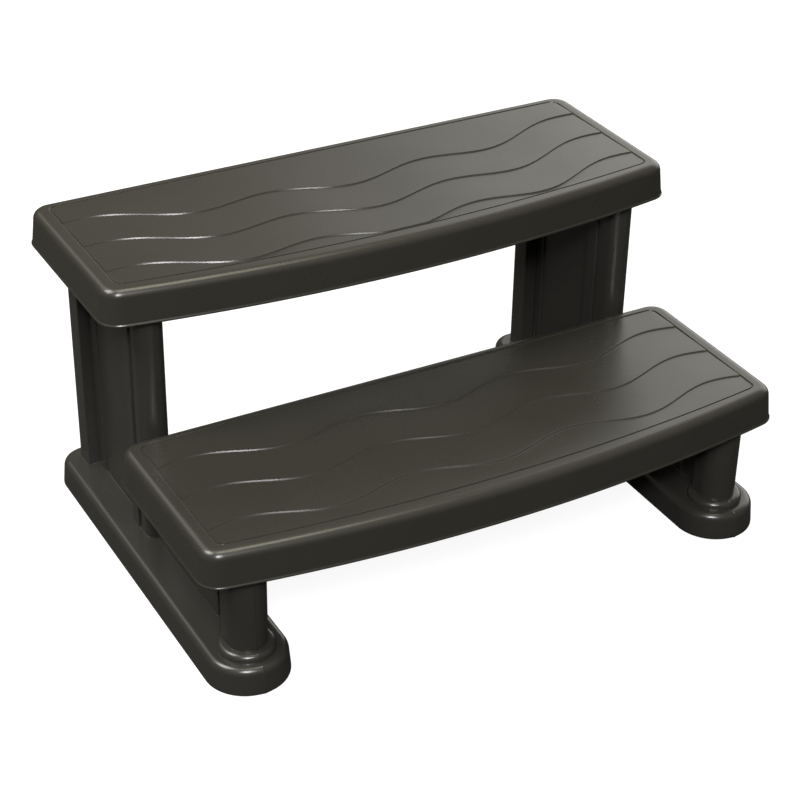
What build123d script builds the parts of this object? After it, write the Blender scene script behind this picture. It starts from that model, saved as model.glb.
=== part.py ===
from build123d import *
import math
import os

# Two-tread spa step. Millimetres, origin on the floor in the middle of the plan,
# +X to the climber's right, -Y towards the climber, +Z up.

# Layout
HEIGHT = 370.0
RISE = 186.0
GOING = 248.0
FRAME_X = 311.3

# Tread moulding, drawn with its back edge on y = 0 and its lip on z = 0
TREAD_WIDTH = 739.0
TREAD_END_DEPTH = 248.0
TREAD_BOW = 33.5
TREAD_HEIGHT = 43.0
CORNER_RADIUS = 27.0
SKIRT_DRAFT = 6.4
TOP_FILLET = 11.0
DECK = 4.5
SKIRT_WALL = 4.0
CAVITY_FILLET = 7.0
LIP_HEIGHT = 2.5
LIP_PROUD = 0.8

# Fine line that frames the standing surface
BORDER_HALF_WIDTH = 345.6
BORDER_BACK = 20.0
BORDER_FRONT = 255.0
BORDER_BOW_RADIUS = 2440.0
BORDER_CORNER = 9.0
BORDER_GROOVE = 1.2
BORDER_DEPTH = 0.8

# Three wavy grip steps per tread, each stepping down towards the climber
WAVE_LINES = 3
WAVE_PITCH = 66.0
WAVE_AMPLITUDE = 10.8
WAVE_LENGTH = 200.0
WAVE_POINTS_PER_LENGTH = 12
WAVE_STEP = 1.3
WAVE_RAMP = 22.0
LOWER_WAVE_MID = -85.3
LOWER_WAVE_CURVE = 1.11e-4
UPPER_WAVE_MID = -112.7
UPPER_WAVE_CURVE = 3.82e-4

# Ribs under the deck
RIB = 3.0
RIB_DEPTH = 25.5
RIB_X_PITCH = 61.5
RIB_X_COUNT = 9
RIB_ROWS = (-62.0, -124.0, -186.0, -244.0)

# Frame heads that the treads drop over, and the sockets round them
HEAD_HALF_WIDTH = 22.6
HEAD_FRONT = -243.75
HEAD_BACK = -29.75
HEAD_CORNER = 12.0
HEAD_HEIGHT = 35.5
HEAD_EDGE = 3.0
SOCKET_CLEARANCE = 0.5
SOCKET_WALL = 3.0
SOCKET_DEPTH = 35.0

# Side frame: foot rail
RAIL_HALF_WIDTH = 49.0
RAIL_HEIGHT = 33.6
RAIL_DRAFT = 5.1
RAIL_EDGE = 9.0
RAIL_NOSE_Y = -201.4
RAIL_BACK_Y = 255.0
RAIL_BACK_CORNER = 34.0

# Side frame: front post and its boss
POST_RADIUS = 23.2
POST_Y = -203.8
POST_BACK_Y = -186.0
BOSS_RADIUS = 32.5
BOSS_TOP = 42.5
BOSS_EDGE = 5.5
BOSS_RAIL_BLEND = 3.2
BOSS_POST_BLEND = 2.2
BOSS_MARGIN = 1.0

# Side frame: web between post and pillar
WEB_TOP = 138.0
WEB_THIN_HALF = 3.0
WEB_THICK_HALF = 6.7
WEB_STEP_Y = -143.0
WEB_OVERLAP = 6.0

# Side frame: rear pillar, half plan from back to front
PILLAR_BACK_Y = 235.0
PILLAR_BACK_HALF = 22.6
PILLAR_RISER_Y = 204.3
PILLAR_CORNER = 5.0
PANEL_HALF = 6.7
BACK_BEAD_HALF = 8.7
BACK_BEAD_Y = (198.5, 184.0)
FRONT_BLOCK_Y = 75.6
FRONT_BLOCK_HALF = 16.8
FRONT_BEAD_HALF = 17.8
FRONT_BEAD_Y = (73.7, 55.5)
FRONT_GROOVE_HALF = 15.6
NOSE_SHOULDER_Y = 48.0
NOSE_RADIUS = 17.0
NOSE_Y = 39.0

# Keel where the two halves of the frame moulding meet
KEEL_HALF = 4.0
KEEL_PROUD = 0.8
KEEL_ROOT = 3.0

# Tread screws, driven outwards from the middle of the step
SCREW_ROWS = (-93.0, -215.0)
SCREW_BELOW_TOP = 24.0
SCREW_HEAD_RADIUS = 6.0
SCREW_HEAD_HEIGHT = 3.6
SCREW_HEAD_EDGE = 1.6
SCREW_SHANK_RADIUS = 2.75
SCREW_LENGTH = 25.0
SCREW_POINT = 4.0
SCREW_TIP_RADIUS = 0.6
SCREW_RECESS_LENGTH = 6.4
SCREW_RECESS_WIDTH = 1.3
SCREW_RECESS_DEPTH = 1.8
SCREW_HOLE_RADIUS = 3.25
PILOT_RADIUS = 2.85
PILOT_DEPTH = 23.0

BOW_RADIUS = ((TREAD_WIDTH / 2) ** 2 + TREAD_BOW**2) / (2 * TREAD_BOW)
DEPTH = GOING + TREAD_END_DEPTH + TREAD_BOW
UPPER_BACK_Y = DEPTH / 2
LOWER_BACK_Y = UPPER_BACK_Y - GOING
LOWER_TOP = HEIGHT - RISE
DECK_UNDERSIDE = TREAD_HEIGHT - DECK
SOCKET_FACE_X = FRAME_X - HEAD_HALF_WIDTH - SOCKET_CLEARANCE - SOCKET_WALL


def top_edges(solid):
    """Edges round the highest face of a solid."""
    return solid.faces().sort_by(Axis.Z)[-1].edges()


def bowed_plan(half_width, back, front, radius, corner):
    """Plan with a straight back, straight ends, a bowed front and rounded corners."""
    sagitta = radius - math.sqrt(radius**2 - half_width**2)
    back_left = (-half_width, back)
    back_right = (half_width, back)
    front_right = (half_width, front + sagitta)
    front_left = (-half_width, front + sagitta)
    sides = Curve() + [
        ThreePointArc(front_left, (0, front), front_right),
        Line(front_right, back_right),
        Line(back_right, back_left),
        Line(back_left, front_left),
    ]
    plan = make_face(sides)
    return fillet(plan.vertices(), corner)


def tread_plan(inset):
    """Tread outline moved in by an equal inset all round."""
    half_width = TREAD_WIDTH / 2 - inset
    front = inset - TREAD_END_DEPTH - TREAD_BOW
    return bowed_plan(half_width, -inset, front, BOW_RADIUS - inset, CORNER_RADIUS - inset)


def border_plan(inset):
    """Outline of the framed standing surface, moved in by an inset."""
    half_width = BORDER_HALF_WIDTH - inset
    back = -BORDER_BACK - inset
    front = inset - BORDER_FRONT
    return bowed_plan(half_width, back, front, BORDER_BOW_RADIUS - inset, BORDER_CORNER - inset)


def tread_skin():
    """Outer body of a tread: drafted skirt, rounded top edge and a proud bottom lip."""
    skirt = extrude(tread_plan(LIP_PROUD), TREAD_HEIGHT, taper=SKIRT_DRAFT)
    skirt = fillet(top_edges(skirt), TOP_FILLET)
    return skirt + extrude(tread_plan(0), LIP_HEIGHT)


def tread_cavity():
    """Open space inside the skirt and under the deck."""
    cavity = extrude(tread_plan(LIP_PROUD + SKIRT_WALL), DECK_UNDERSIDE, taper=SKIRT_DRAFT)
    return fillet(top_edges(cavity), CAVITY_FILLET)


def head_block(margin, height):
    """Rounded block with the plan of a frame head grown by a margin."""
    width = 2 * (HEAD_HALF_WIDTH + margin)
    length = HEAD_BACK - HEAD_FRONT + 2 * margin
    plan = RectangleRounded(width, length, HEAD_CORNER + margin)
    return Pos(0, (HEAD_BACK + HEAD_FRONT) / 2) * extrude(plan, height)


def socket_blocks(margin):
    """The pair of socket volumes under a deck, grown by a margin."""
    block = head_block(margin, SOCKET_DEPTH)
    low = DECK_UNDERSIDE - SOCKET_DEPTH
    return [Pos(side * FRAME_X, 0, low) * block for side in (-1, 1)]


def tread_ribs(cavity):
    """Grid of stiffening ribs hanging from the deck inside the skirt."""
    bars = []
    rib_z = DECK_UNDERSIDE - RIB_DEPTH / 2
    middle_y = -(TREAD_END_DEPTH + TREAD_BOW) / 2
    for column in range(RIB_X_COUNT):
        x = (column - (RIB_X_COUNT - 1) / 2) * RIB_X_PITCH
        bars.append(Pos(x, middle_y, rib_z) * Box(RIB, 2 * TREAD_END_DEPTH, RIB_DEPTH))
    for y in RIB_ROWS:
        bars.append(Pos(0, y, rib_z) * Box(TREAD_WIDTH, RIB, RIB_DEPTH))
    grid = Part() + bars
    return grid & cavity


def wave_cutter(middle, curve):
    """Wedge swept along one wavy line: steep on the back side, fading out in front."""
    count = round(2 * BORDER_HALF_WIDTH / WAVE_LENGTH * WAVE_POINTS_PER_LENGTH)
    points = []
    for index in range(count + 1):
        x = BORDER_HALF_WIDTH * (2 * index / count - 1)
        y = middle + curve * x**2 - WAVE_AMPLITUDE * math.cos(2 * math.pi * x / WAVE_LENGTH)
        points.append((x, y, TREAD_HEIGHT))
    path = Spline(points)
    overshoot = WAVE_STEP / 2
    reach = WAVE_RAMP * (WAVE_STEP + overshoot) / WAVE_STEP
    start = Plane(origin=path @ 0, x_dir=(path % 0).cross(Vector(0, 0, 1)), z_dir=path % 0)
    wedge = start * make_face(Polyline((0, -WAVE_STEP), (0, overshoot), (reach, overshoot), close=True))
    return sweep(wedge, path=path)


def tread(wave_middle, wave_curve):
    """One complete tread moulding."""
    cavity = tread_cavity()
    body = tread_skin() - cavity + tread_ribs(cavity)
    walls = Part() + socket_blocks(SOCKET_CLEARANCE + SOCKET_WALL)
    body = body + (walls & cavity)
    body = body - socket_blocks(SOCKET_CLEARANCE)
    groove = extrude(border_plan(0) - border_plan(BORDER_GROOVE), BORDER_DEPTH)
    body = body - Pos(0, 0, TREAD_HEIGHT - BORDER_DEPTH) * groove
    field = Pos(0, 0, DECK_UNDERSIDE) * extrude(border_plan(BORDER_GROOVE / 2), DECK * 2)
    for line in range(WAVE_LINES):
        cutter = wave_cutter(wave_middle - line * WAVE_PITCH, wave_curve)
        body = body - (cutter & field)
    hole = Rot(0, 90, 0) * Cylinder(SCREW_HOLE_RADIUS, SOCKET_WALL * 3)
    for side in (-1, 1):
        for y in SCREW_ROWS:
            hole_x = side * (SOCKET_FACE_X + SOCKET_WALL / 2)
            body = body - Pos(hole_x, y, TREAD_HEIGHT - SCREW_BELOW_TOP) * hole
    return body


def rail():
    """Foot rail: round nose, squarer back, drafted sides and a rounded top edge."""
    length = RAIL_BACK_Y - RAIL_NOSE_Y
    plan = Pos(0, RAIL_NOSE_Y + length / 2) * Rectangle(2 * RAIL_HALF_WIDTH, length)
    plan = fillet(plan.vertices().group_by(Axis.Y)[-1], RAIL_BACK_CORNER)
    plan = plan + Pos(0, RAIL_NOSE_Y) * Circle(RAIL_HALF_WIDTH)
    body = extrude(plan, RAIL_HEIGHT, taper=RAIL_DRAFT)
    return fillet(top_edges(body), RAIL_EDGE)


def boss():
    """Raised ring at the foot of the front post, with soft blends into rail and post."""
    wide = BOSS_RADIUS + BOSS_RAIL_BLEND + BOSS_MARGIN
    high = BOSS_TOP + BOSS_POST_BLEND + BOSS_MARGIN
    profile = make_face(
        Polyline(
            (0, 0),
            (wide, 0),
            (wide, RAIL_HEIGHT),
            (BOSS_RADIUS, RAIL_HEIGHT),
            (BOSS_RADIUS, BOSS_TOP),
            (POST_RADIUS, BOSS_TOP),
            (POST_RADIUS, high),
            (0, high),
            close=True,
        )
    )
    for corner, radius in (
        ((BOSS_RADIUS, RAIL_HEIGHT), BOSS_RAIL_BLEND),
        ((BOSS_RADIUS, BOSS_TOP), BOSS_EDGE),
        ((POST_RADIUS, BOSS_TOP), BOSS_POST_BLEND),
    ):
        profile = fillet(profile.vertices().sort_by_distance(corner)[0], radius)
    return Pos(0, POST_Y) * revolve(Plane.XZ * profile, Axis.Z)


def keel(front_y, top):
    """Slight vertical edge down the middle of a rounded front."""
    root = front_y + KEEL_ROOT
    near = front_y + KEEL_HALF**2 / (2 * POST_RADIUS)
    outline = Polyline(
        (-KEEL_HALF, root),
        (-KEEL_HALF, near),
        (0, front_y - KEEL_PROUD),
        (KEEL_HALF, near),
        (KEEL_HALF, root),
        close=True,
    )
    return extrude(make_face(outline), top)


def post(top):
    """Bullet-shaped front post."""
    length = POST_BACK_Y - POST_Y
    plan = Pos(0, POST_Y) * Circle(POST_RADIUS)
    plan = plan + Pos(0, POST_Y + length / 2) * Rectangle(2 * POST_RADIUS, length)
    return extrude(plan, top) + keel(POST_Y - POST_RADIUS, top)


def web(half, back, front, low, high):
    """Upright flat web between two positions along the frame."""
    size_z = high - low
    return Pos(0, (back + front) / 2, low + size_z / 2) * Box(2 * half, back - front, size_z)


def pillar(top):
    """Rear pillar: back block, recessed panel with a bead, and a round-nosed front block."""
    half = [
        (0, PILLAR_BACK_Y),
        (PILLAR_BACK_HALF, PILLAR_BACK_Y),
        (PILLAR_BACK_HALF, PILLAR_RISER_Y),
        (PANEL_HALF, PILLAR_RISER_Y),
        (PANEL_HALF, BACK_BEAD_Y[0]),
        (BACK_BEAD_HALF, BACK_BEAD_Y[0]),
        (BACK_BEAD_HALF, BACK_BEAD_Y[1]),
        (PANEL_HALF, BACK_BEAD_Y[1]),
        (PANEL_HALF, FRONT_BLOCK_Y),
        (FRONT_BLOCK_HALF, FRONT_BLOCK_Y),
        (FRONT_BLOCK_HALF, FRONT_BEAD_Y[0]),
        (FRONT_BEAD_HALF, FRONT_BEAD_Y[0]),
        (FRONT_BEAD_HALF, FRONT_BEAD_Y[1]),
        (FRONT_GROOVE_HALF, FRONT_BEAD_Y[1]),
        (FRONT_GROOVE_HALF, NOSE_SHOULDER_Y),
        (NOSE_RADIUS, NOSE_SHOULDER_Y),
        (NOSE_RADIUS, NOSE_Y),
        (0, NOSE_Y),
    ]
    plan = make_face(Polyline(*half, close=True))
    plan = fillet(plan.vertices().sort_by_distance((PILLAR_BACK_HALF, PILLAR_BACK_Y))[0], PILLAR_CORNER)
    plan = plan + mirror(plan, about=Plane.YZ) + Pos(0, NOSE_Y) * Circle(NOSE_RADIUS)
    return extrude(plan, top) + keel(NOSE_Y - NOSE_RADIUS, top)


def frame_head(back_y, tread_top):
    """Block on top of the frame that fills a tread socket up to the deck underside."""
    top = tread_top - DECK
    block = head_block(0, HEAD_HEIGHT)
    return Pos(0, back_y, top - HEAD_HEIGHT) * fillet(top_edges(block), HEAD_EDGE)


def side_frame():
    """One side frame about its own middle plane, screw holes in its -X faces."""
    lower_head_low = LOWER_TOP - DECK - HEAD_HEIGHT
    upper_head_low = HEIGHT - DECK - HEAD_HEIGHT
    head_back = LOWER_BACK_Y + HEAD_BACK
    foot = RAIL_HEIGHT / 2
    frame = rail() + boss() + post(lower_head_low)
    frame = frame + [
        web(WEB_THIN_HALF, WEB_STEP_Y + WEB_OVERLAP, POST_BACK_Y - WEB_OVERLAP, foot, WEB_TOP),
        web(WEB_THICK_HALF, NOSE_Y, WEB_STEP_Y, foot, WEB_TOP),
        web(WEB_THIN_HALF, WEB_STEP_Y + WEB_OVERLAP, POST_BACK_Y - WEB_OVERLAP, foot, lower_head_low),
        web(WEB_THICK_HALF, head_back - HEAD_CORNER, WEB_STEP_Y, foot, lower_head_low),
        pillar(upper_head_low),
        frame_head(LOWER_BACK_Y, LOWER_TOP),
        frame_head(UPPER_BACK_Y, HEIGHT),
    ]
    pilot = Rot(0, 90, 0) * Cylinder(PILOT_RADIUS, PILOT_DEPTH)
    pilot_x = PILOT_DEPTH / 2 - HEAD_HALF_WIDTH
    for back_y, top in ((LOWER_BACK_Y, LOWER_TOP), (UPPER_BACK_Y, HEIGHT)):
        for y in SCREW_ROWS:
            frame = frame - Pos(pilot_x, back_y + y, top - SCREW_BELOW_TOP) * pilot
    return frame


def screw():
    """Pan-head cross-recess screw pointing along +X, head seat on x = 0."""
    head = extrude(Circle(SCREW_HEAD_RADIUS), SCREW_HEAD_HEIGHT)
    head = fillet(top_edges(head), SCREW_HEAD_EDGE)
    for turn in (0, 90):
        bar = Rot(0, 0, turn) * Box(SCREW_RECESS_LENGTH, SCREW_RECESS_WIDTH, 2 * SCREW_RECESS_DEPTH)
        head = head - Pos(0, 0, SCREW_HEAD_HEIGHT) * bar
    straight = SCREW_LENGTH - SCREW_POINT
    shank = Pos(0, 0, -straight / 2) * Cylinder(SCREW_SHANK_RADIUS, straight)
    point = Pos(0, 0, -straight - SCREW_POINT / 2) * Cone(SCREW_TIP_RADIUS, SCREW_SHANK_RADIUS, SCREW_POINT)
    return Rot(0, -90, 0) * (head + shank + point)


def tread_screws(back_y, top):
    """Four separate screws, two into each side frame."""
    right = screw()
    left = mirror(right, about=Plane.YZ)
    screws = []
    for y in SCREW_ROWS:
        height = top - SCREW_BELOW_TOP
        screws.append(Pos(SOCKET_FACE_X, back_y + y, height) * right)
        screws.append(Pos(-SOCKET_FACE_X, back_y + y, height) * left)
    return Compound(children=[Solid(item.solids()[0].wrapped) for item in screws])


def main():
    os.makedirs("parts", exist_ok=True)
    right_frame = Pos(FRAME_X) * side_frame()
    upper = Pos(0, UPPER_BACK_Y, HEIGHT - TREAD_HEIGHT) * tread(UPPER_WAVE_MID, UPPER_WAVE_CURVE)
    lower = Pos(0, LOWER_BACK_Y, LOWER_TOP - TREAD_HEIGHT) * tread(LOWER_WAVE_MID, LOWER_WAVE_CURVE)
    parts = {
        "upper_tread": upper,
        "lower_tread": lower,
        "right_side_frame": right_frame,
        "left_side_frame": mirror(right_frame, about=Plane.YZ),
        "upper_tread_screws": tread_screws(UPPER_BACK_Y, HEIGHT),
        "lower_tread_screws": tread_screws(LOWER_BACK_Y, LOWER_TOP),
    }
    for name, part in parts.items():
        export_step(part, f"parts/{name}.step")


main()
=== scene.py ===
import math

import bpy
from mathutils import Matrix, Vector


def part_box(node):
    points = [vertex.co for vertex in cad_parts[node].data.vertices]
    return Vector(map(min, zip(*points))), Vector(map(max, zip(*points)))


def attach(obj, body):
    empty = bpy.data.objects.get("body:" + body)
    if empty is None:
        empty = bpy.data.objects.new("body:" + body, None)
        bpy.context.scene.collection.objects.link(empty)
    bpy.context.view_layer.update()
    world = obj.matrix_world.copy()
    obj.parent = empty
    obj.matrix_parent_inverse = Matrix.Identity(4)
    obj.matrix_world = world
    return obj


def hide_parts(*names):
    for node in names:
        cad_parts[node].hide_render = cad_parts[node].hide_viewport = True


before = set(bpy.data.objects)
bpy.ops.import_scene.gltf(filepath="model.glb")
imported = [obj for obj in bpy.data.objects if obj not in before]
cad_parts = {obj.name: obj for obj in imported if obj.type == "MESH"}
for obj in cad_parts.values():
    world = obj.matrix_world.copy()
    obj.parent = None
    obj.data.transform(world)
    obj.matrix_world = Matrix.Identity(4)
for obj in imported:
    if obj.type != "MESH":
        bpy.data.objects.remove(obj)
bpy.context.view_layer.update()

MM = 0.001

# ---------------------------------------------------------------- sizes, mm

# Tread moulding: back edge on y = 0, lip on z = 0, before it is put in place
TREAD_TOP = 43.0
WIDTH = 739.0
END_DEPTH = 248.0
BOW = 33.5
BOW_RADIUS = ((WIDTH / 2) ** 2 + BOW**2) / (2 * BOW)
PLAN_CORNER = 27.0
DRAFT = math.radians(6.4)
LEAN = math.tan(DRAFT)
TOP_ROUND = 11.0
TOP_ROUND_STEPS = 12
MARGIN_SETBACK = 1.2
SKIRT_LEVELS = (26.0, 18.0, 10.0, 4.6)
SKIRT_WALL = 4.0
LIP_PROUD = 0.8
# (inset, z) down the bead that ends the skirt
LIP_BEAD = ((1.15, 3.5), (0.85, 2.8), (0.35, 2.35), (0.06, 1.8), (0.0, 1.25), (0.1, 0.6), (0.45, 0.12))
LIP_UNDERSIDE = 0.95
LIP_EDGE = (0.5, 0.45)
CAVITY_LEVELS = (10.0, 20.0)
CAVITY_ROUND = 7.0
CAVITY_STEPS = 5
DECK = 4.5
UNDER_DECK = TREAD_TOP - DECK

# Standing surface: framed by a fine groove, crossed by three wavy steps
BORDER_HALF = 344.4
BORDER_BACK = -21.2
BORDER_FRONT = -253.8
BORDER_RADIUS = 2440.0
BORDER_CORNER = 8.5
GROOVE_DEPTH = 1.2
GROOVE_STEP = 0.45
# (outset, rise above the floor) across the groove, then (outset, drop below the margin) up its far side
GROOVE_FLOOR = ((0.2, 0.25), (0.5, 0.0), (1.4, 0.0))
GROOVE_SHOULDER = ((1.75, 0.35), (2.05, 0.07), (2.6, 0.0))
CREST = 0.6
FOOT = -0.9
BACK_BAND_FOOT = -0.5
FRONT_BAND_CREST = -0.05
DECK_PLANE = TREAD_TOP - CREST
STEP_HALF = 0.45
STEP_EDGE = 0.12
CREST_RUN = 1.3
CREST_EASE = 0.01
LINE_MARGIN = 1.8
WAVE_PITCH = 66.0
WAVE_AMPLITUDE = 10.8
WAVE_LENGTH = 200.0
# Back wave line at the middle of each tread, and how it curves along the tread
LOWER_WAVE = (-85.3, 1.11e-4)
UPPER_WAVE = (-112.7, 3.82e-4)

# Stations along the bow, round a corner, and across one band between two wave lines
BOW_STEPS = 180
CORNER_STEPS = 7
BAND_SHARES = (0.07, 0.16, 0.27, 0.40, 0.54, 0.68, 0.81, 0.92)

# Ribs and sockets under the deck
RIB = 3.0
RIB_DEPTH = 25.5
RIB_PITCH = 61.5
RIBS_EACH_SIDE = 4
RIB_ROWS = (-62.0, -124.0, -186.0)
FRONT_RIB_ROW = -244.0
FRONT_RIB_GAP = 2.0
BITE = 1.0
# (z, setback from the middle of the skirt wall) of a rib's lower and upper edge
RIB_EDGES = ((UNDER_DECK - RIB_DEPTH, 0.0), (UNDER_DECK + BITE, 1.5))
SOCKET_GAP = 0.5
SOCKET_WALL = 3.0
SOCKET_DEPTH = 35.0
BELOW_LIP = -5.0

# Heads of the side frames, which fill the sockets
HEAD_HALF = 22.6
HEAD_FRONT = -243.75
HEAD_BACK = -29.75
HEAD_CORNER = 12.0
HEAD_CORNER_STEPS = 6
HEAD_HEIGHT = 35.5
HEAD_EDGE = 0.8
HEAD_CROWN = 3.0

# Side frame, about its own middle plane
FRAME_X = 311.3
RAIL_HALF = 49.0
RAIL_TOP = 33.6
RAIL_FRONT = -250.4
RAIL_BACK = 255.0
RAIL_BACK_CORNER = 34.0
RAIL_CORNER_STEPS = 26
RAIL_DRAFT = math.radians(5.1)
RAIL_ROUND = 9.0
RAIL_ROUND_STEPS = 12
RAIL_TOP_SETBACK = 1.0
# (inset, z) up the softened lower edge, then the heights of the drafted side
RAIL_FOOT_EDGE = [(2.2, 0.0), (1.2, 0.25), (0.55, 0.8), (0.3, 1.6)]
RAIL_SIDE_LEVELS = (4.0, 12.0, 20.0)
POST_HALF = 23.2
POST_Y = -203.8
POST_BACK = -186.0
POST_BACK_CORNER = 3.5
POST_NOSE_STEPS = 23
POST_LEVELS = (60, 90, 120)
BOSS_HALF = 32.5
BOSS_TOP = 42.5
BOSS_ROUND = 7.0
BOSS_FOOT = 0.4
BOSS_NECK = 0.4
BOSS_SIDES = 96
BOSS_ROUND_STEPS = 9
BOSS_FOOT_STEPS = 8
BOSS_NECK_STEPS = 6
WEB_TOP = 138.0
WEB_THIN = 3.0
WEB_THICK = 6.7
WEB_STEP_Y = -143.0
WEB_BACK = 40.0
WEB_FLARE = 1.0
BLEND_STEPS = 7
NECK_SETBACK = 0.2
NECK_FRONT_SETBACK = 1
NECK_BACK_SETBACK = 12.0
NECK_BELOW_WEB_TOP = 5
# (half width, y, corner radius) down one side of the rear pillar: nose block, bead, panel, bead, back block
PILLAR_HALF_PLAN = (
    (17.0, 22.0, 17.0),
    (17.0, 48.0, 0.5),
    (15.6, 48.0, 0.4),
    (15.6, 55.5, 0.4),
    (17.8, 55.5, 0.8),
    (17.8, 73.7, 0.6),
    (16.8, 73.7, 0.3),
    (16.8, 75.6, 0.9),
    (6.7, 75.6, 0.8),
    (6.7, 184.0, 0.7),
    (8.7, 184.0, 0.8),
    (8.7, 198.5, 0.8),
    (6.7, 198.5, 0.7),
    (6.7, 204.3, 0.8),
    (22.5, 204.3, 1.2),
    (22.5, 235.0, 5.0),
)
PILLAR_NOSE_Y = 36.0
PILLAR_CORNER_STEPS = 8
PILLAR_LEVELS = (110.0, 200.0)
# (half width, front, back, corner radius) of the upright blocks that blend into the rail
PILLAR_FEET = ((22.6, 204.3, 235.0, 5.0), (16.4, 30.0, 75.6, 0.7), (6.7, 60.0, 215.0, 0.9))
SKIRTING_FLARE = 1.6
SKIRTING_CORNER_STEPS = 5

# Parting seam down every rounded nose: a slight keel with a line of flash on it
KEEL = 0.5
KEEL_WIDTH = 9.0
FLASH = 0.8
FLASH_HALF = 0.6

# How far joined solids reach into one another: never the same twice, so no two faces coincide
SUNK = 4.0
SINK = 0.12
TUCK = 0.15
POST_INTO_HEAD = 1.0
WEB_INTO_HEAD = 1.7
NECK_INTO_HEAD = 1.4
PILLAR_INTO_HEAD = 1.0
WEB_INTO_POST = 8.0
WEB_OVERLAP = 6.0
PILLAR_SUNK = 5.0
BOSS_INTO_POST = 0.6
BOSS_ABOVE_NECK = 1.5
FEET_SUNK = 3.0
FEET_SUNK_STAGGER = 0.3
FEET_FLARE_STAGGER = 0.2
SKIRTING_LID = 0.5

# Screw holes
SCREW_ROWS = (-93.0, -215.0)
SCREW_BELOW_TOP = 24.0
TREAD_HOLE = 3.25
FRAME_HOLE = 2.85
FRAME_HOLE_ENDS = (-HEAD_HALF - 4, 0.4)
HOLE_SIDES = 28

# Shading shows a crease past these angles, in degrees
TREAD_CREASE = 38
FRAME_CREASE = 32

SAME_POINT = 1e-4
ON_MIDDLE = 1e-3
LEAST_RADIUS = 0.1


def placed(node):
    """Box of a CAD node in millimetres: lowest corner, highest corner."""
    low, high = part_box(node)
    return Vector(low) / MM, Vector(high) / MM


def seat(node):
    """Back edge and deck underside of a tread's CAD node, in millimetres."""
    high = placed(node)[1]
    return high.y, high.z - DECK


# ------------------------------------------------------------- mesh helpers


def new_mesh(name, points, faces):
    """Linked mesh object from points in millimetres."""
    mesh = bpy.data.meshes.new(name)
    mesh.from_pydata([Vector(p) * MM for p in points], [], faces)
    mesh.validate()
    piece = bpy.data.objects.new(name, mesh)
    bpy.context.scene.collection.objects.link(piece)
    return piece


def loft(rings, name):
    """Closed solid through rings of equal length, flat faces on both ends."""
    count = len(rings[0])
    points = [p for ring in rings for p in ring]
    faces = [tuple(reversed(range(count)))]
    for storey in range(len(rings) - 1):
        low = storey * count
        for i in range(count):
            j = (i + 1) % count
            faces.append((low + i, low + j, low + count + j, low + count + i))
    top = (len(rings) - 1) * count
    faces.append(tuple(range(top, top + count)))
    return new_mesh(name, points, faces)


def neighbours(corners, i):
    """The corner before, the corner itself and the corner after, as plan points."""
    around = (corners[i - 1], corners[i], corners[(i + 1) % len(corners)])
    return [Vector(corner[:2]) for corner in around]


def offset_corners(corners, distance):
    """Corners (x, y, radius) of a closed outline, moved out by a distance."""
    moved = []
    for i, (x, y, radius) in enumerate(corners):
        before, here, after = neighbours(corners, i)
        run_in = (here - before).normalized()
        run_out = (after - here).normalized()
        out_in = Vector((run_in.y, -run_in.x))
        out_out = Vector((run_out.y, -run_out.x))
        step = (out_in + out_out) * (distance / (1 + out_in.dot(out_out)))
        turn = run_in.x * run_out.y - run_in.y * run_out.x
        grown = radius + distance if turn > 0 else radius - distance
        moved.append((x + step.x, y + step.y, max(grown, LEAST_RADIUS)))
    return moved


def corner_arc(before, here, after, radius, steps):
    """Points round one corner of an anticlockwise outline, inner corners included."""
    to_before = (before - here).normalized()
    to_after = (after - here).normalized()
    half = to_before.angle(to_after) / 2
    start = here + to_before * (radius / math.tan(half))
    centre = here + (to_before + to_after).normalized() * (radius / math.sin(half))
    spoke = start - centre
    sweep = math.pi - 2 * half
    if to_after.x * to_before.y - to_after.y * to_before.x < 0:
        sweep = -sweep
    points = []
    for s in range(steps + 1):
        angle = sweep * s / steps
        c, n = math.cos(angle), math.sin(angle)
        x = centre.x + spoke.x * c - spoke.y * n
        y = centre.y + spoke.x * n + spoke.y * c
        points.append((x, y))
    return points


def rounded(corners, steps):
    """Points of a closed anticlockwise outline with an arc at each corner."""
    kept = []
    for i, corner in enumerate(corners):
        for point in corner_arc(*neighbours(corners, i), corner[2], steps):
            if not kept or math.dist(point, kept[-1]) > SAME_POINT:
                kept.append(point)
    if math.dist(kept[0], kept[-1]) < SAME_POINT:
        kept.pop()
    return kept


def level(plan, z):
    """A flat outline lifted to a height."""
    return [(x, y, z) for x, y in plan]


def rounded_level(corners, steps, out, z):
    """One level ring of an upright solid, its corners moved out and rounded."""
    return level(rounded(offset_corners(corners, out), steps), z)


def arc_profile(centre_inset, centre_z, radius, start, end, steps):
    """(inset, z) pairs round a convex edge, between two angles from the outward direction."""
    pairs = []
    for s in range(steps + 1):
        angle = start + (end - start) * s / steps
        pairs.append((centre_inset - radius * math.cos(angle), centre_z + radius * math.sin(angle)))
    return pairs


def concave(inner, low, radius, steps):
    """(distance, z) pairs up a concave blend that ends upright at an inner distance."""
    pairs = []
    for s in range(steps):
        angle = math.pi / 2 * s / (steps - 1)
        pairs.append((inner + radius * (1 - math.sin(angle)), low + radius * (1 - math.cos(angle))))
    return pairs


def cylinder_x(radius, ends, y, z):
    """Plain round bar along X between two ends, for cutting holes."""
    turns = [2 * math.pi * s / HOLE_SIDES for s in range(HOLE_SIDES)]
    section = [(y + radius * math.cos(turn), z + radius * math.sin(turn)) for turn in turns]
    return loft([[(x, v, w) for v, w in section] for x in sorted(ends)], "bar")


def shift(piece, offset):
    """Moves a mesh by an offset in millimetres."""
    piece.data.transform(Matrix.Translation(Vector(offset) * MM))


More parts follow.
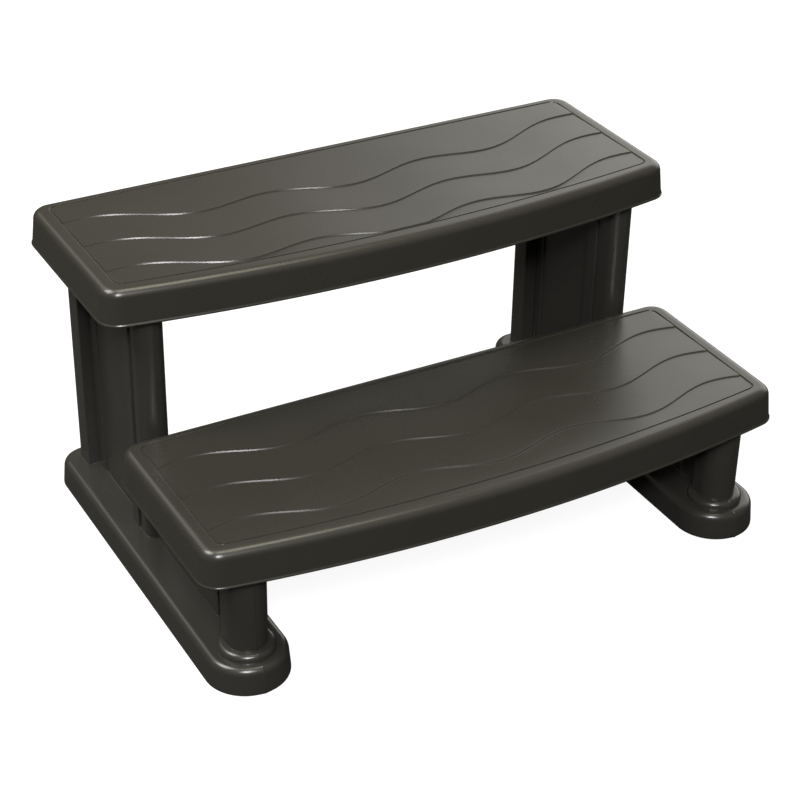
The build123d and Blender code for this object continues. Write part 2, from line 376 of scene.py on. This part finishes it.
def join_solids(base, others, operation="UNION"):
    """Boolean of closed solids, left as one clean mesh on the first."""
    for other in others:
        tool = base.modifiers.new("join", "BOOLEAN")
        tool.operation = operation
        tool.solver = "EXACT"
        tool.object = other
        graph = bpy.context.evaluated_depsgraph_get()
        result = bpy.data.meshes.new_from_object(base.evaluated_get(graph))
        base.modifiers.clear()
        base.data = result
        bpy.data.objects.remove(other)
    return base


def finish_surface(piece, sharp_degrees):
    """Smooth shading with sharp creases, flat faces kept flat."""
    for polygon in piece.data.polygons:
        polygon.use_smooth = True
    piece.data.set_sharp_from_angle(angle=math.radians(sharp_degrees))
    weighted = piece.modifiers.new("face weight", "WEIGHTED_NORMAL")
    weighted.keep_sharp = True
    weighted.weight = 100


# ------------------------------------------------------------------- treads


class BowedPlan:
    """Straight back and ends, bowed front, rounded corners, walked in fixed stations."""

    def __init__(self, half, back, front, radius, corner):
        self.corner = corner
        self.radius = radius
        self.bow_y = front + radius
        self.corner_x = half - corner
        self.back_y = back - corner
        reach = radius - corner
        self.front_y = self.bow_y - math.sqrt(reach**2 - self.corner_x**2)
        self.bow_angle = math.asin(self.corner_x / reach)

    def bow(self, share):
        """Point on the bow, share from -1 at the left to 1 at the right."""
        angle = share * self.bow_angle
        return self.radius * math.sin(angle), self.bow_y - self.radius * math.cos(angle)

    def front_corner(self, share, side):
        """Point on a front corner, share 0 at the bow and 1 at the end."""
        angle = (math.pi / 2 - self.bow_angle) * (1 - share)
        x = self.corner_x + self.corner * math.cos(angle)
        return side * x, self.front_y - self.corner * math.sin(angle)

    def end(self, share, side):
        """Point on an end, share 0 at the front and 1 at the back."""
        y = self.front_y + share * (self.back_y - self.front_y)
        return side * (self.corner_x + self.corner), y

    def back_corner(self, share, side):
        """Point on a back corner, share 0 at the end and 1 at the back."""
        angle = math.pi / 2 * share
        x = self.corner_x + self.corner * math.cos(angle)
        return side * x, self.back_y + self.corner * math.sin(angle)

    def back(self, share):
        """Point on the back, share from -1 at the left to 1 at the right."""
        return share * self.corner_x, self.back_y + self.corner


CORNER_SHARES = [s / CORNER_STEPS for s in range(CORNER_STEPS + 1)]
BOW_SHARES = [2 * s / BOW_STEPS - 1 for s in range(1, BOW_STEPS)]


def tread_plan(inset):
    """Tread outline moved in by an inset."""
    front = inset - END_DEPTH - BOW
    return BowedPlan(WIDTH / 2 - inset, -inset, front, BOW_RADIUS - inset, PLAN_CORNER - inset)


def border_plan(outset):
    """Outline of the standing surface moved out by an outset."""
    return BowedPlan(
        BORDER_HALF + outset,
        BORDER_BACK + outset,
        BORDER_FRONT - outset,
        BORDER_RADIUS + outset,
        BORDER_CORNER + outset,
    )


def ring_of(plan, end_shares):
    """All stations of a plan, anticlockwise from the left front corner."""
    ring = [plan.front_corner(1 - s, -1) for s in CORNER_SHARES]
    ring += [plan.bow(s) for s in BOW_SHARES]
    ring += [plan.front_corner(s, 1) for s in CORNER_SHARES]
    ring += [plan.end(s, 1) for s in end_shares]
    ring += [plan.back_corner(s, 1) for s in CORNER_SHARES]
    ring += [plan.back(-s) for s in BOW_SHARES]
    ring += [plan.back_corner(1 - s, -1) for s in CORNER_SHARES]
    ring += [plan.end(s, -1) for s in reversed(end_shares)]
    return ring


def columns_of(plan):
    """Front and back ends of the grid columns from left to right."""
    pairs = [(plan.front_corner(1 - s, -1), plan.back_corner(s, -1)) for s in CORNER_SHARES]
    pairs += [(plan.bow(s), plan.back(s)) for s in BOW_SHARES]
    pairs += [(plan.front_corner(s, 1), plan.back_corner(1 - s, 1)) for s in CORNER_SHARES]
    return pairs


def wave_lines(x, wave, front, back):
    """The three wave lines' places on a column, kept inside the border."""
    middle, curve = wave
    lines = []
    for line in range(3):
        y = middle - line * WAVE_PITCH + curve * x**2
        y -= WAVE_AMPLITUDE * math.cos(2 * math.pi * x / WAVE_LENGTH)
        lines.append(min(max(y, front + LINE_MARGIN * (3 - line)), back - LINE_MARGIN))
    return lines


def column_profile(x, wave, front, back):
    """(y, z) stations down one grid column, from the back border to the front border."""
    lines = wave_lines(x, wave, front, back)
    stations = []
    starts = [(back, BACK_BAND_FOOT)] + [(y - STEP_HALF, FOOT) for y in lines]
    ends = [(y + STEP_HALF, CREST) for y in lines] + [(front, FRONT_BAND_CREST)]
    for (y0, z0), (y1, z1) in zip(starts, ends):
        run = y0 - y1
        crest_run = min(CREST_RUN, 0.2 * run)
        stations.append((y0, z0 if y0 == back else z0 + STEP_EDGE))
        stations.append((y0 - 0.5 * crest_run, z0 + CREST_EASE))
        for share in BAND_SHARES:
            rise = 0.6 * share + 0.4 * share**2 * (3 - 2 * share)
            stations.append((y0 - run * share, z0 + (z1 - z0) * rise))
        stations.append((y1 + 0.5 * crest_run, z1 - CREST_EASE))
        stations.append((y1, z1 if y1 == front else z1 - STEP_EDGE))
    return stations


def deck_grid(wave):
    """Columns of points over the standing surface, from left to right and front to back."""
    grid = []
    for (xf, yf), (xb, yb) in columns_of(border_plan(0)):
        column = []
        for y, z in reversed(column_profile((xf + xb) / 2, wave, yf, yb)):
            share = (y - yf) / (yb - yf)
            column.append((xf + share * (xb - xf), y, DECK_PLANE + z))
        grid.append(column)
    return grid


def grid_faces(columns, rows):
    """Faces between neighbouring columns of a point grid."""
    faces = []
    for c in range(columns - 1):
        for r in range(rows - 1):
            a = c * rows + r
            b = a + rows
            faces.append((a, b, b + 1, a + 1))
    return faces


def grid_edge(columns, rows):
    """Point numbers round a grid's edge, anticlockwise from the left front corner."""
    last = (columns - 1) * rows
    loop = [c * rows for c in range(columns)]
    loop += [last + r for r in range(1, rows - 1)]
    loop += [c * rows + rows - 1 for c in reversed(range(columns))]
    loop += list(reversed(range(1, rows - 1)))
    return loop


def groove_rings(heights, end_shares):
    """Rings of the groove round the standing surface, sunk below the heights at its edge."""
    rings = []
    for outset, rise in GROOVE_FLOOR:
        plan = ring_of(border_plan(outset), end_shares)
        floor = [min(DECK_PLANE - GROOVE_DEPTH, h - GROOVE_STEP) + rise for h in heights]
        rings.append([(x, y, z) for (x, y), z in zip(plan, floor)])
    for outset, drop in GROOVE_SHOULDER:
        rings.append(level(ring_of(border_plan(outset), end_shares), DECK_PLANE - drop))
    return rings


def edge_profile():
    """(inset, z) pairs from the margin over the rounded edge, down the skirt and its bead."""
    round_z = DECK_PLANE - TOP_ROUND
    foot = LIP_PROUD + (round_z + TOP_ROUND * math.sin(DRAFT)) * LEAN
    centre = TOP_ROUND * math.cos(DRAFT) + foot
    profile = [(centre + MARGIN_SETBACK, DECK_PLANE)]
    profile += arc_profile(centre, round_z, TOP_ROUND, math.pi / 2, DRAFT, TOP_ROUND_STEPS)
    profile += [(LIP_PROUD + z * LEAN, z) for z in SKIRT_LEVELS]
    profile += LIP_BEAD
    return profile


def cavity_profile():
    """(inset, z) pairs across the lip's underside and up the inner wall to the deck."""
    wall = LIP_PROUD + SKIRT_WALL
    edge_run, edge_rise = LIP_EDGE
    profile = [(LIP_UNDERSIDE, 0.0), (wall - edge_run, 0.0), (wall, edge_rise)]
    profile += [(wall + z * LEAN, z) for z in CAVITY_LEVELS]
    round_z = UNDER_DECK - CAVITY_ROUND
    inside = wall + round_z * LEAN
    for s in range(CAVITY_STEPS + 1):
        angle = math.pi / 2 * s / CAVITY_STEPS
        inset = inside + CAVITY_ROUND * (1 - math.cos(angle))
        profile.append((inset, round_z + CAVITY_ROUND * math.sin(angle)))
    return profile


def tread_solid(name, wave):
    """Closed tread moulding: deck relief, groove, rounded edge, skirt, lip and cavity."""
    grid = deck_grid(wave)
    rows = len(grid[0])
    points = [p for column in grid for p in column]
    faces = grid_faces(len(grid), rows)
    loop = grid_edge(len(grid), rows)
    front_y = grid[0][0][1]
    back_y = grid[0][-1][1]
    end_shares = [(p[1] - front_y) / (back_y - front_y) for p in grid[0][1:-1]]
    rings = groove_rings([points[i][2] for i in loop], end_shares)
    for inset, z in edge_profile() + cavity_profile():
        rings.append(level(ring_of(tread_plan(inset), end_shares), z))
    count = len(loop)
    for ring in rings:
        start = len(points)
        points += ring
        current = list(range(start, start + count))
        for i in range(count):
            j = (i + 1) % count
            faces.append((loop[j], loop[i], current[i], current[j]))
        loop = current
    faces.append(tuple(reversed(loop)))
    return new_mesh(name, points, faces)


def rib_along_y(x):
    """Rib across the tread, its ends leaning inside the skirt walls."""
    half = RIB / 2
    rings = []
    for z, setback in RIB_EDGES:
        inset = LIP_PROUD + SKIRT_WALL / 2 + z * LEAN + setback
        front = x**2 / (2 * BOW_RADIUS) - END_DEPTH - BOW + inset
        plan = [(x - half, front), (x + half, front), (x + half, -inset), (x - half, -inset)]
        rings.append(level(plan, z))
    return loft(rings, "rib")


def rib_along_x(y, reach=None):
    """Rib along the tread, between the end walls or out to a stated reach."""
    half = RIB / 2
    rings = []
    for z, setback in RIB_EDGES:
        end = reach
        if reach is None:
            end = WIDTH / 2 - LIP_PROUD - SKIRT_WALL / 2 - z * LEAN - setback
        rings.append(level([(-end, y - half), (end, y - half), (end, y + half), (-end, y + half)], z))
    return loft(rings, "rib")


def head_plan(margin):
    """Corners of a frame head's plan, grown by a margin."""
    half = HEAD_HALF + margin
    front = HEAD_FRONT - margin
    back = HEAD_BACK + margin
    radius = HEAD_CORNER + margin
    return [(-half, front, radius), (half, front, radius), (half, back, radius), (-half, back, radius)]


def socket_block(name, margin, low, high, side):
    """Upright block with a head's grown plan, on one side of a tread."""
    plan = rounded(head_plan(margin), HEAD_CORNER_STEPS)
    piece = loft([level(plan, low), level(plan, high)], name)
    shift(piece, (side * FRAME_X, 0, 0))
    return piece


def tread_ribs():
    """Rib grid under a deck, its front row only between the sockets."""
    ribs = [rib_along_y(i * RIB_PITCH) for i in range(-RIBS_EACH_SIDE, RIBS_EACH_SIDE + 1)]
    ribs += [rib_along_x(y) for y in RIB_ROWS]
    ribs.append(rib_along_x(FRONT_RIB_ROW, FRAME_X - HEAD_HALF - FRONT_RIB_GAP))
    return ribs


def tread(name, wave, node):
    """Tread with ribs, sockets and screw holes, put where its CAD node is."""
    body = tread_solid(name, wave)
    ribs = tread_ribs()
    sockets = []
    cuts = []
    for side in (-1, 1):
        wall = SOCKET_GAP + SOCKET_WALL
        sockets.append(socket_block("socket", wall, UNDER_DECK - SOCKET_DEPTH, UNDER_DECK + BITE, side))
        cuts.append(socket_block("socket_space", SOCKET_GAP, BELOW_LIP, UNDER_DECK, side))
        face = side * (FRAME_X - HEAD_HALF - SOCKET_GAP)
        ends = (face + side * SOCKET_WALL, face - side * 2 * SOCKET_WALL)
        for y in SCREW_ROWS:
            cuts.append(cylinder_x(TREAD_HOLE, ends, y, TREAD_TOP - SCREW_BELOW_TOP))
    body = join_solids(body, ribs + sockets)
    body = join_solids(body, cuts, "DIFFERENCE")
    high = placed(node)[1]
    shift(body, (0, high.y, high.z - TREAD_TOP))
    finish_surface(body, TREAD_CREASE)
    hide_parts(node)
    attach(body, "root")
    return body


# -------------------------------------------------------------- side frames


def with_seam(ring, nose_y):
    """Draws a rounded nose to a slight keel with a fine line of flash down its middle."""
    nose = [i for i, (x, y, _) in enumerate(ring) if abs(x) <= ON_MIDDLE and y <= nose_y]
    front = min(nose, key=lambda i: ring[i][1])
    shaped = []
    for x, y, z in ring:
        lift = KEEL * max(0.0, 1 - abs(x) / KEEL_WIDTH) if y < nose_y else 0.0
        shaped.append((x, y - lift, z))
    x, y, z = shaped[front]
    slope = KEEL / KEEL_WIDTH * FLASH_HALF
    seam = [(-FLASH_HALF, y + slope, z), (0.0, y - FLASH, z), (FLASH_HALF, y + slope, z)]
    return shaped[:front] + seam + shaped[front + 1:]


def rail_solid(name):
    """Foot rail with drafted sides, rounded top edge and a seam down the nose."""
    base = [
        (-RAIL_HALF, RAIL_FRONT, RAIL_HALF),
        (RAIL_HALF, RAIL_FRONT, RAIL_HALF),
        (RAIL_HALF, RAIL_BACK, RAIL_BACK_CORNER),
        (-RAIL_HALF, RAIL_BACK, RAIL_BACK_CORNER),
    ]
    lean = math.tan(RAIL_DRAFT)
    round_z = RAIL_TOP - RAIL_ROUND
    centre = RAIL_ROUND * math.cos(RAIL_DRAFT) + (round_z + RAIL_ROUND * math.sin(RAIL_DRAFT)) * lean
    profile = RAIL_FOOT_EDGE + [(z * lean, z) for z in RAIL_SIDE_LEVELS]
    profile += arc_profile(centre, round_z, RAIL_ROUND, RAIL_DRAFT, math.pi / 2, RAIL_ROUND_STEPS)
    profile.append((centre + RAIL_TOP_SETBACK, RAIL_TOP))
    rings = [with_seam(rounded_level(base, RAIL_CORNER_STEPS, -inset, z), POST_Y) for inset, z in profile]
    rail = loft(rings, "rail")
    rail.name = name
    return rail


def boss_profile():
    """(radius, z) pairs up the ring at the post's foot, blended into rail and post."""
    profile = [(BOSS_HALF + BOSS_FOOT, RAIL_TOP - SUNK)]
    profile += concave(BOSS_HALF, RAIL_TOP - SINK, BOSS_FOOT, BOSS_FOOT_STEPS)
    for s in range(BOSS_ROUND_STEPS + 1):
        angle = math.pi / 2 * s / BOSS_ROUND_STEPS
        radius = BOSS_HALF - BOSS_ROUND * (1 - math.cos(angle))
        profile.append((radius, BOSS_TOP - BOSS_ROUND * (1 - math.sin(angle))))
    profile += concave(POST_HALF - TUCK, BOSS_TOP, BOSS_NECK, BOSS_NECK_STEPS)
    profile.append((POST_HALF - BOSS_INTO_POST, BOSS_TOP + BOSS_NECK + BOSS_ABOVE_NECK))
    return profile


def boss_solid():
    """Ring at the post's foot, with the seam down its front."""
    rings = []
    for radius, z in boss_profile():
        ring = []
        for s in range(BOSS_SIDES):
            angle = 2 * math.pi * s / BOSS_SIDES - math.pi / 2
            ring.append((radius * math.cos(angle), POST_Y + radius * math.sin(angle), z))
        rings.append(with_seam(ring, POST_Y))
    return loft(rings, "boss")


def post_solid(top):
    """Bullet-plan front post with a seam down its nose."""
    front = POST_Y - POST_HALF
    corners = [
        (-POST_HALF, front, POST_HALF),
        (POST_HALF, front, POST_HALF),
        (POST_HALF, POST_BACK, POST_BACK_CORNER),
        (-POST_HALF, POST_BACK, POST_BACK_CORNER),
    ]
    plan = rounded(corners, POST_NOSE_STEPS)
    heights = (RAIL_TOP - SUNK, *POST_LEVELS, top)
    rings = [with_seam(level(plan, z), POST_Y) for z in heights]
    return loft(rings, "post")


def block(half, front, back, radius=0.6):
    """Corners of a plain plan symmetric about the frame's middle plane."""
    return [(-half, front, radius), (half, front, radius), (half, back, radius), (-half, back, radius)]


def web_solid(corners, steps, high):
    """Upright web that flares softly into the rail it stands on."""
    rings = [rounded_level(corners, steps, WEB_FLARE, RAIL_TOP - SUNK)]
    for out, z in concave(0.0, RAIL_TOP - SINK, WEB_FLARE, BLEND_STEPS):
        rings.append(rounded_level(corners, steps, out, z))
    rings.append(rounded_level(corners, steps, 0.0, high))
    return loft(rings, "web")


def neck_solid(back, top):
    """Upper part of the web, from the thick web to the underside of the lower head."""
    plan = rounded(block(WEB_THICK - NECK_SETBACK, WEB_STEP_Y + NECK_FRONT_SETBACK, back), 3)
    return loft([level(plan, z) for z in (WEB_TOP - NECK_BELOW_WEB_TOP, top)], "neck")


def pillar_solid(top):
    """Rear pillar with its recessed panel, beads and rounded front block."""
    right = list(PILLAR_HALF_PLAN)
    left = [(-x, y, r) for x, y, r in reversed(right)]
    plan = rounded(right + left, PILLAR_CORNER_STEPS)
    heights = (RAIL_TOP - PILLAR_SUNK, *PILLAR_LEVELS, top)
    rings = [with_seam(level(plan, z), PILLAR_NOSE_Y) for z in heights]
    return loft(rings, "pillar")


def skirting(corners, flare, low):
    """Concave blend round an upright block, ending just inside its walls."""
    steps = SKIRTING_CORNER_STEPS
    rings = [rounded_level(corners, steps, flare, low)]
    for out, z in concave(-TUCK, RAIL_TOP - SINK, flare, BLEND_STEPS):
        rings.append(rounded_level(corners, steps, out, z))
    rings.append(rounded_level(corners, steps, -2 * TUCK, RAIL_TOP + flare + SKIRTING_LID))
    return loft(rings, "skirting")


def pillar_feet():
    """Small blends where the pillar stands on the rail, each of its own height."""
    feet = []
    for i, foot in enumerate(PILLAR_FEET):
        flare = SKIRTING_FLARE + FEET_FLARE_STAGGER * i
        feet.append(skirting(block(*foot), flare, RAIL_TOP - FEET_SUNK - i * FEET_SUNK_STAGGER))
    return feet


def head_solid(back, deck):
    """Head that fills a tread's socket up to its deck, its top edge eased."""
    corners = head_plan(0.0)
    rings = [
        rounded_level(corners, HEAD_CORNER_STEPS, 0.0, deck - HEAD_HEIGHT),
        rounded_level(corners, HEAD_CORNER_STEPS, 0.0, deck - HEAD_CROWN),
        rounded_level(corners, HEAD_CORNER_STEPS, -HEAD_EDGE, deck - HEAD_EDGE),
        rounded_level(corners, HEAD_CORNER_STEPS, -HEAD_CROWN, deck),
    ]
    head = loft(rings, "head")
    shift(head, (0, back, 0))
    return head


def side_frame(name, node, side):
    """One side frame, built about its middle plane and put where its CAD node is."""
    lower_back, lower_deck = seat("lower_tread")
    upper_back, upper_deck = seat("upper_tread")
    lower_top = lower_deck - HEAD_HEIGHT
    seats = ((lower_back, lower_deck), (upper_back, upper_deck))
    thin = block(WEB_THIN, POST_BACK - WEB_INTO_POST, WEB_STEP_Y + WEB_OVERLAP)
    thick = block(WEB_THICK, WEB_STEP_Y, WEB_BACK, 1.5)
    parts = [
        boss_solid(),
        post_solid(lower_top + POST_INTO_HEAD),
        web_solid(thin, 3, lower_top + WEB_INTO_HEAD),
        web_solid(thick, 4, WEB_TOP),
        neck_solid(lower_back + HEAD_BACK - NECK_BACK_SETBACK, lower_top + NECK_INTO_HEAD),
        pillar_solid(upper_deck - HEAD_HEIGHT + PILLAR_INTO_HEAD),
    ]
    parts += pillar_feet()
    parts += [head_solid(back, deck) for back, deck in seats]
    body = join_solids(rail_solid(name), parts)
    holes = []
    for back, deck in seats:
        z = deck + DECK - SCREW_BELOW_TOP
        holes += [cylinder_x(FRAME_HOLE, FRAME_HOLE_ENDS, back + y, z) for y in SCREW_ROWS]
    body = join_solids(body, holes, "DIFFERENCE")
    if side < 0:
        body.data.transform(Matrix.Scale(-1, 4, (1, 0, 0)))
        body.data.flip_normals()
    shift(body, (side * FRAME_X, 0, 0))
    finish_surface(body, FRAME_CREASE)
    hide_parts(node)
    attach(body, "root")
    return body


# ---------------------------------------------------------------- materials

TREAD_COLOURS = ((0.0236, 0.0228, 0.0184), (0.0262, 0.0253, 0.0206))
FRAME_COLOURS = ((0.0255, 0.025, 0.0215), (0.0285, 0.028, 0.024))
TREAD_ROUGHNESS = 0.28
FRAME_ROUGHNESS = 0.26
ROUGHNESS_SPREAD = 0.015
CLOUD_SCALE = 9.0
CLOUD_DETAIL = 5.0
CLOUD_STOPS = (0.3, 0.7)
SHEEN_SCALE = 26.0
SHEEN_DETAIL = 3.0
GRAIN_SCALE = 1500.0
GRAIN_STRENGTH = 0.05
GRAIN_HEIGHT = 0.00012
STEEL_COLOUR = (0.6, 0.6, 0.58)
STEEL_GRAIN_SCALE = 900.0
STEEL_ROUGHNESS = (0.22, 0.42)


def new_material(name):
    """Node material, its tree and a texture coordinate that follows the object."""
    material = bpy.data.materials.new(name)
    material.use_nodes = True
    tree = material.node_tree
    place = tree.nodes.new("ShaderNodeTexCoord").outputs["Object"]
    return material, tree, place


def noise(tree, place, scale, detail=2.0):
    """Noise texture's value, from broad clouds to a fine grain."""
    texture = tree.nodes.new("ShaderNodeTexNoise")
    texture.inputs["Scale"].default_value = scale
    texture.inputs["Detail"].default_value = detail
    tree.links.new(place, texture.inputs["Vector"])
    return texture.outputs["Fac"]


def mapped(tree, value, start, end, low, high):
    """Value mapped from one range to another."""
    ramp = tree.nodes.new("ShaderNodeMapRange")
    ramp.inputs["From Min"].default_value = start
    ramp.inputs["From Max"].default_value = end
    ramp.inputs["To Min"].default_value = low
    ramp.inputs["To Max"].default_value = high
    tree.links.new(value, ramp.inputs["Value"])
    return ramp


def plastic(name, colours, roughness):
    """Satin moulded plastic: faint cloudy colour, uneven sheen and a very fine grain."""
    material, tree, place = new_material(name)
    shader = tree.nodes["Principled BSDF"]
    shader.inputs["IOR"].default_value = 1.5
    shader.inputs["Specular IOR Level"].default_value = 0.5

    tint = tree.nodes.new("ShaderNodeValToRGB")
    for stop, position, colour in zip(tint.color_ramp.elements, CLOUD_STOPS, colours):
        stop.position = position
        stop.color = (*colour, 1)
    tree.links.new(noise(tree, place, CLOUD_SCALE, CLOUD_DETAIL), tint.inputs["Fac"])
    tree.links.new(tint.outputs["Color"], shader.inputs["Base Color"])

    sheen = noise(tree, place, SHEEN_SCALE, SHEEN_DETAIL)
    gloss = mapped(tree, sheen, 0.25, 0.75, roughness - ROUGHNESS_SPREAD, roughness + ROUGHNESS_SPREAD)
    tree.links.new(gloss.outputs["Result"], shader.inputs["Roughness"])

    bump = tree.nodes.new("ShaderNodeBump")
    bump.inputs["Strength"].default_value = GRAIN_STRENGTH
    bump.inputs["Distance"].default_value = GRAIN_HEIGHT
    tree.links.new(noise(tree, place, GRAIN_SCALE), bump.inputs["Height"])
    tree.links.new(bump.outputs["Normal"], shader.inputs["Normal"])
    return material


def steel(name):
    """Bright screw steel with an uneven sheen."""
    material, tree, place = new_material(name)
    shader = tree.nodes["Principled BSDF"]
    shader.inputs["Base Color"].default_value = (*STEEL_COLOUR, 1)
    shader.inputs["Metallic"].default_value = 1.0
    gloss = mapped(tree, noise(tree, place, STEEL_GRAIN_SCALE), 0.0, 1.0, *STEEL_ROUGHNESS)
    tree.links.new(gloss.outputs["Result"], shader.inputs["Roughness"])
    return material


def wear(piece, material):
    """Gives a piece one material."""
    piece.data.materials.clear()
    piece.data.materials.append(material)


# -------------------------------------------------------------------- scene

FOCAL_LENGTH = 89.73
SENSOR = 36.0
CAMERA_AT = Vector((-1001.7, -1759.7, 1391.0))
CAMERA_AZIMUTH = math.radians(-29.34)
CAMERA_ELEVATION = math.radians(31.61)
CAMERA_ROLL = math.radians(1.07)

# Lights: azimuth, elevation, distance (m), side (m), power (W), colour
LIGHTS_AIM = Vector((0, 0, 0.2))
LIGHTS = {
    "flash": (31, 36, 3.0, 0.28, 31, (0.92, 0.89, 1.0)),
    "key": (25, 42, 3.2, 0.8, 56, (1.0, 0.98, 0.96)),
    "left_window": (105, 53, 3.2, 1.5, 92, (1.0, 0.98, 0.93)),
    "back_left": (150, 40, 3.2, 1.5, 9, (1.0, 0.98, 0.93)),
    "overhead": (0, 84, 2.6, 1.2, 27, (1.0, 0.96, 0.8)),
}

# World: a warm ceiling that grows brighter overhead, and a pale wall behind on the right
CEILING_COLOUR = (1.0, 0.93, 0.78)
CEILING_STRENGTH = (0.08, 0.26)
CEILING_FULL = 0.8
WALL_COLOUR = (1.0, 0.985, 0.94)
WALL_STRENGTH = 2.15
WALL_AT = (238, 18)
WALL_EDGE = math.cos(math.radians(35.5))
WALL_CORE = math.cos(math.radians(9))

# Floor: what the camera sees, and the darker ground that the object reflects
BACKDROP_COLOUR = (0.2, 0.2, 0.2)
BACKDROP_GLOW = 0.92
BACKDROP_Z = -0.0005
GROUND_COLOUR = (0.045, 0.045, 0.043)
GROUND_Z = -0.0015
FLOOR_REACH = 12.0


def towards(azimuth, elevation):
    """Unit direction, azimuth from -Y towards -X, both in degrees."""
    a = math.radians(azimuth)
    e = math.radians(elevation)
    return Vector((-math.sin(a) * math.cos(e), -math.cos(a) * math.cos(e), math.sin(e)))


def camera():
    """Camera at the picture's viewing angle."""
    a, e, r = CAMERA_AZIMUTH, CAMERA_ELEVATION, CAMERA_ROLL
    back = Vector((math.sin(a) * math.cos(e), -math.cos(a) * math.cos(e), math.sin(e)))
    right = (-back).cross(Vector((0, 0, 1))).normalized()
    up = back.cross(right)
    across = right * math.cos(r) + up * math.sin(r)
    upward = up * math.cos(r) - right * math.sin(r)
    data = bpy.data.cameras.new("camera")
    data.lens = FOCAL_LENGTH
    data.sensor_width = SENSOR
    view = bpy.data.objects.new("camera", data)
    turn = Matrix((across, upward, back)).transposed().to_4x4()
    view.matrix_world = Matrix.Translation(CAMERA_AT * MM) @ turn
    bpy.context.scene.collection.objects.link(view)
    bpy.context.scene.camera = view


def softbox(name, azimuth, elevation, distance, side, power, colour):
    """Square area light on a sphere round the object, facing it."""
    direction = towards(azimuth, elevation)
    data = bpy.data.lights.new(name, "AREA")
    data.shape = "RECTANGLE"
    data.size = side
    data.size_y = side
    data.energy = power
    data.color = colour
    lamp = bpy.data.objects.new(name, data)
    turn = direction.to_track_quat("Z", "Y").to_matrix().to_4x4()
    lamp.matrix_world = Matrix.Translation(LIGHTS_AIM + direction * distance) @ turn
    bpy.context.scene.collection.objects.link(lamp)


def glow(tree, direction, start, end, low, high):
    """World brightness that rises smoothly towards one direction."""
    place = tree.nodes.new("ShaderNodeTexCoord")
    along = tree.nodes.new("ShaderNodeVectorMath")
    along.operation = "DOT_PRODUCT"
    along.inputs[1].default_value = direction
    tree.links.new(place.outputs["Generated"], along.inputs[0])
    ramp = mapped(tree, along.outputs["Value"], start, end, low, high)
    ramp.interpolation_type = "SMOOTHSTEP"
    return ramp.outputs["Result"]


def surroundings():
    """Dim room below the horizon, soft ceiling, and a bright wall behind on the right."""
    world = bpy.data.worlds.new("studio")
    world.use_nodes = True
    tree = world.node_tree
    ceiling = tree.nodes["Background"]
    ceiling.inputs["Color"].default_value = (*CEILING_COLOUR, 1)
    overhead = glow(tree, (0, 0, 1), 0.0, CEILING_FULL, *CEILING_STRENGTH)
    tree.links.new(overhead, ceiling.inputs["Strength"])
    wall = tree.nodes.new("ShaderNodeBackground")
    wall.inputs["Color"].default_value = (*WALL_COLOUR, 1)
    behind = glow(tree, towards(*WALL_AT), WALL_EDGE, WALL_CORE, 0.0, WALL_STRENGTH)
    tree.links.new(behind, wall.inputs["Strength"])
    both = tree.nodes.new("ShaderNodeAddShader")
    tree.links.new(ceiling.outputs["Background"], both.inputs[0])
    tree.links.new(wall.outputs["Background"], both.inputs[1])
    tree.links.new(both.outputs["Shader"], tree.nodes["World Output"].inputs["Surface"])
    bpy.context.scene.world = world


def sheet(name, z, colour, glow_strength):
    """Large flat stage surface."""
    r = FLOOR_REACH
    mesh = bpy.data.meshes.new(name)
    mesh.from_pydata([(-r, -r, z), (r, -r, z), (r, r, z), (-r, r, z)], [], [(0, 1, 2, 3)])
    flat = bpy.data.objects.new(name, mesh)
    bpy.context.scene.collection.objects.link(flat)
    paper = bpy.data.materials.new(name)
    paper.use_nodes = True
    shader = paper.node_tree.nodes["Principled BSDF"]
    shader.inputs["Base Color"].default_value = (*colour, 1)
    shader.inputs["Roughness"].default_value = 0.9
    shader.inputs["Specular IOR Level"].default_value = 0.0
    shader.inputs["Emission Color"].default_value = (1, 1, 1, 1)
    shader.inputs["Emission Strength"].default_value = glow_strength
    wear(flat, paper)
    return flat


def studio():
    """White backdrop, grey ground for reflections, room light and the softboxes."""
    backdrop = sheet("backdrop", BACKDROP_Z, BACKDROP_COLOUR, BACKDROP_GLOW)
    backdrop.visible_glossy = False
    backdrop.visible_diffuse = False
    backdrop.visible_shadow = False
    ground = sheet("ground", GROUND_Z, GROUND_COLOUR, 0.0)
    ground.visible_camera = False
    surroundings()
    for name, light in LIGHTS.items():
        softbox(name, *light)
    bpy.context.scene.view_settings.view_transform = "Standard"


camera()
studio()
dark_tread = plastic("espresso_tread", TREAD_COLOURS, TREAD_ROUGHNESS)
dark_frame = plastic("espresso_frame", FRAME_COLOURS, FRAME_ROUGHNESS)
screw_steel = steel("screw_steel")

upper = tread("upper_tread_moulding", UPPER_WAVE, "upper_tread")
lower = tread("lower_tread_moulding", LOWER_WAVE, "lower_tread")
left = side_frame("left_frame_moulding", "left_side_frame", -1)
right = side_frame("right_frame_moulding", "right_side_frame", 1)
for piece in (upper, lower):
    wear(piece, dark_tread)
for piece in (left, right):
    wear(piece, dark_frame)
for node in ("upper_tread_screws", "lower_tread_screws"):
    wear(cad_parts[node], screw_steel)
